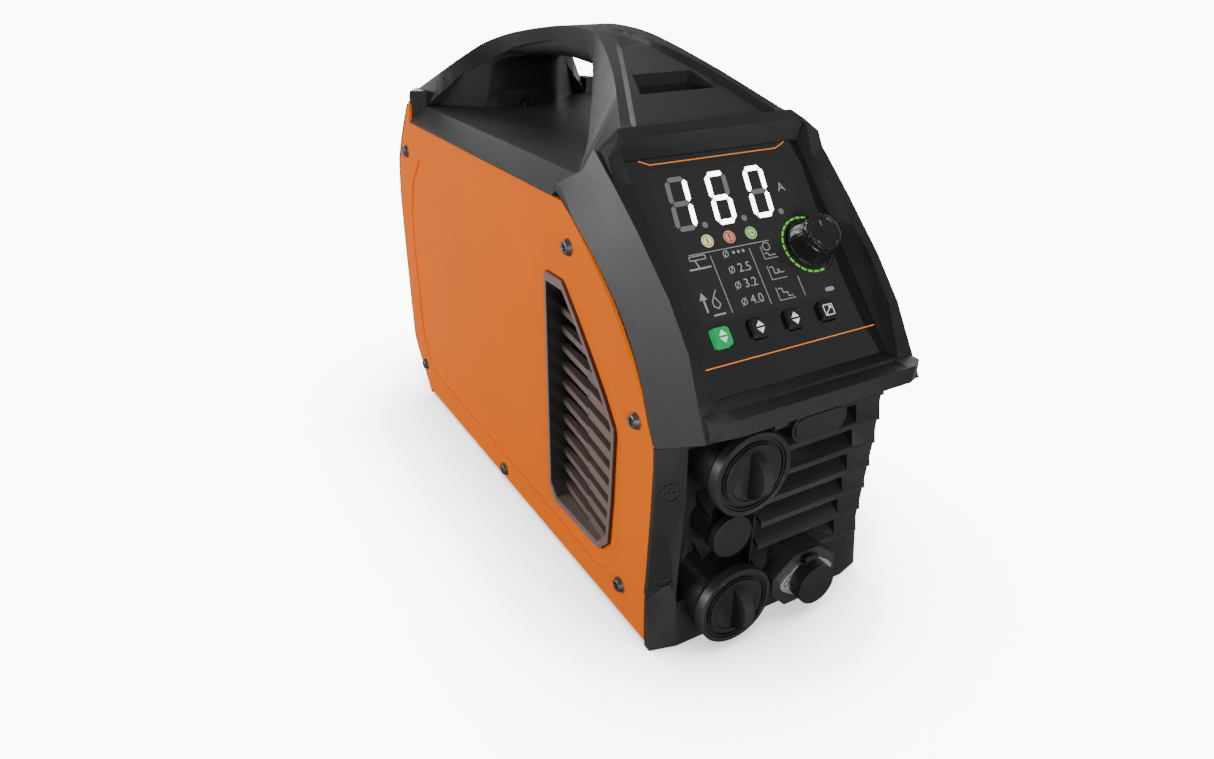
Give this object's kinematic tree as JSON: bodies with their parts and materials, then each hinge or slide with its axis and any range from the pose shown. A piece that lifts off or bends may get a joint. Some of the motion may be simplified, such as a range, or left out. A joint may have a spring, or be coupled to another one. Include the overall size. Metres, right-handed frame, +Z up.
{
  "type": "stick welding inverter",
  "caption": "Portable stick welding inverter with orange side panels, hooded digital display, control knob, covered output sockets and arched carry handle",
  "frame": {"origin": "bottom centre of the box: middle of the width and of the overall length, on the ground under the feet", "axes": "Z up, front with the sockets and the display faces -Y, X runs from the operator's left to right, length along Y"},
  "size_m": [0.138, 0.3764, 0.2647],
  "materials": {
    "orange_paint": "satin",
    "dark_plastic": "fine texture",
    "zinc_steel": "plated",
    "black_rubber": "matte",
    "smoked_glass": "gloss",
    "display_film": "satin",
    "green_light": "lit",
    "key_plastic": "satin",
    "green_board": "lacquered",
    "component_plastic": "moulded",
    "brass": "machined",
    "nickel_flange": "cast",
    "black_screws": "black oxide",
    "red_rocker": "gloss",
    "aluminium_fins": "extruded",
    "ferrite": "sintered",
    "copper": "enamelled copper"
  },
  "bodies": {
    "case": {"left_side_panel": "orange_paint", "right_side_panel": "orange_paint", "left_vent": "dark_plastic", "right_vent": "dark_plastic", "control_hood": "dark_plastic", "front_grille": "dark_plastic", "top_cover": "dark_plastic", "rear_panel": "dark_plastic", "base_tray": "zinc_steel", "feet": "black_rubber", "display_glass": "smoked_glass", "display_screen": "display_film", "light_ring": "green_light", "control_board": "green_board", "encoder_body": "component_plastic", "key_switches": "component_plastic", "socket_bodies": "brass", "socket_insulators": "component_plastic", "blank_plug": "dark_plastic", "link_socket": "nickel_flange", "link_pins": "brass", "link_screws": "nickel_flange", "side_panel_screws": "black_screws", "deck_screw": "black_screws", "fan_frame": "dark_plastic", "fan_guard": "black_screws", "fan_screws": "black_screws", "power_switch_body": "dark_plastic", "inlet_gland": "dark_plastic", "gland_nut": "dark_plastic", "earth_stud": "brass", "main_board": "green_board", "switch_heatsink": "aluminium_fins", "rectifier_heatsink": "aluminium_fins", "switch_transistors": "component_plastic", "output_rectifiers": "component_plastic", "transformer_core": "ferrite", "transformer_windings": "copper", "output_choke_core": "ferrite", "output_choke_winding": "copper", "boost_choke_core": "ferrite", "boost_choke_winding": "copper", "bus_capacitors": "component_plastic", "input_bridge": "component_plastic", "filter_parts": "component_plastic", "output_busbars": "copper", "board_posts": "brass", "inner_bracket": "zinc_steel"},
    "knob": {"encoder_knob": "key_plastic"},
    "mode_key": {"mode_button": "green_light"},
    "up_key": {"up_button": "key_plastic"},
    "down_key": {"down_button": "key_plastic"},
    "save_key": {"save_button": "key_plastic"},
    "upper_cover": {"upper_socket_cover": "dark_plastic"},
    "lower_cover": {"lower_socket_cover": "dark_plastic"},
    "link_cover": {"link_cap": "black_rubber"},
    "fan_wheel": {"fan_rotor": "dark_plastic"},
    "mains_rocker": {"power_rocker": "red_rocker"}
  },
  "joints": [
    {"name": "encoder_turn", "type": "hinge", "parent": "case", "child": "knob", "pos_m": [0.0304, -0.13121, 0.18105], "axis": [0, -0.7408, 0.6717], "continuous": true},
    {"name": "mode_press", "type": "slide", "parent": "case", "child": "mode_key", "axis": [0, 0.7408, -0.6717], "range_m": [0, 0.0008], "stiffness_N_per_m": 800},
    {"name": "up_press", "type": "slide", "parent": "case", "child": "up_key", "axis": [0, 0.7408, -0.6717], "range_m": [0, 0.0008], "stiffness_N_per_m": 800},
    {"name": "down_press", "type": "slide", "parent": "case", "child": "down_key", "axis": [0, 0.7408, -0.6717], "range_m": [0, 0.0008], "stiffness_N_per_m": 800},
    {"name": "save_press", "type": "slide", "parent": "case", "child": "save_key", "axis": [0, 0.7408, -0.6717], "range_m": [0, 0.0008], "stiffness_N_per_m": 800},
    {"name": "upper_cover_turn", "type": "hinge", "parent": "case", "child": "upper_cover", "pos_m": [-0.03, -0.1778, 0.1015], "axis": [0, 1, 0], "range_deg": [0, 90]},
    {"name": "lower_cover_turn", "type": "hinge", "parent": "case", "child": "lower_cover", "pos_m": [-0.03, -0.1743, 0.0261], "axis": [0, 1, 0], "range_deg": [0, 90]},
    {"name": "link_cap_lift", "type": "hinge", "parent": "case", "child": "link_cover", "pos_m": [0.0187, -0.17065, 0.0325], "axis": [-1, 0, 0], "range_deg": [0, 110]},
    {"name": "fan_spin", "type": "hinge", "parent": "case", "child": "fan_wheel", "pos_m": [0, 0.1442, 0.0955], "axis": [0, 1, 0], "continuous": true},
    {"name": "rocker_tilt", "type": "hinge", "parent": "case", "child": "mains_rocker", "pos_m": [-0.034, 0.1642, 0.1645], "axis": [1, 0, 0], "range_deg": [0, 16]}
  ]
}
